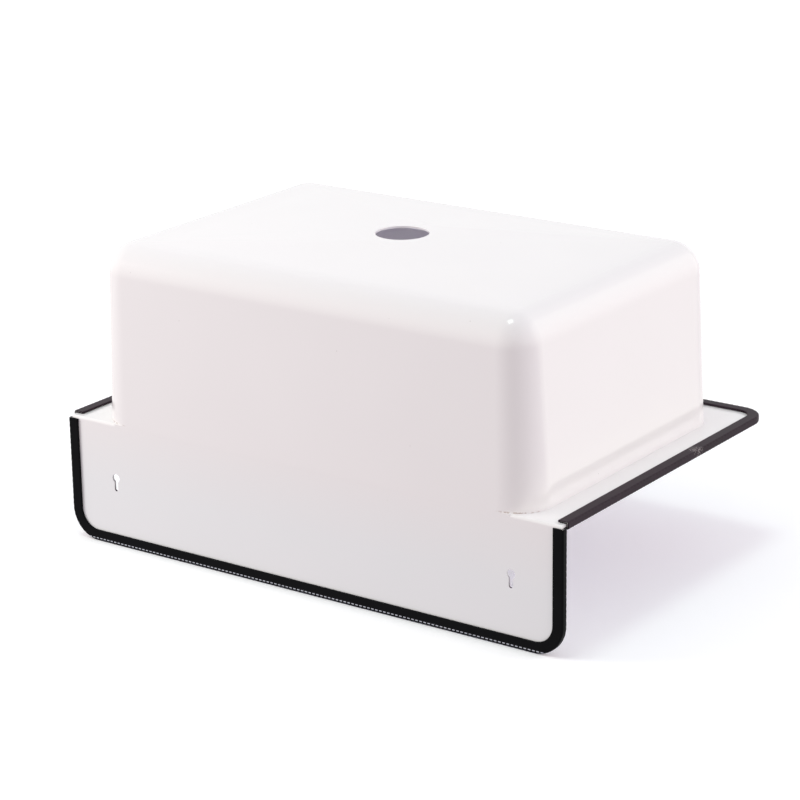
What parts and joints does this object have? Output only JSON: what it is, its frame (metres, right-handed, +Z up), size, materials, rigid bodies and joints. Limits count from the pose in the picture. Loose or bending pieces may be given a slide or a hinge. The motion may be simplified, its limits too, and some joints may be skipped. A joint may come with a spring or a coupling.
{
  "type": "bucket sink",
  "caption": "Wall-hung enamelled steel bucket sink with a folded splashback, keyhole slots, a plain waste hole and black edge trim.",
  "frame": {"origin": "centre of the waste hole, at the lowest point of the outside of the bottom", "axes": "+Z up from the bottom to the rim and splashback, +Y from the front to the wall, +X from side to side"},
  "size_m": [0.51, 0.3343, 0.279],
  "materials": {
    "bowl_enamel": "glossy white vitreous enamel on drawn steel",
    "sheet_enamel": "glossy white vitreous enamel on folded steel sheet",
    "edge_trim": "black extruded soft plastic, satin",
    "carrier_steel": "bare punched steel strip"
  },
  "bodies": {
    "root": {"bowl": "bowl_enamel", "rim_and_splashback": "sheet_enamel", "rim_trim": "edge_trim", "rim_trim_carrier": "carrier_steel", "splashback_trim": "edge_trim", "splashback_trim_carrier": "carrier_steel"}
  },
  "joints": []
}
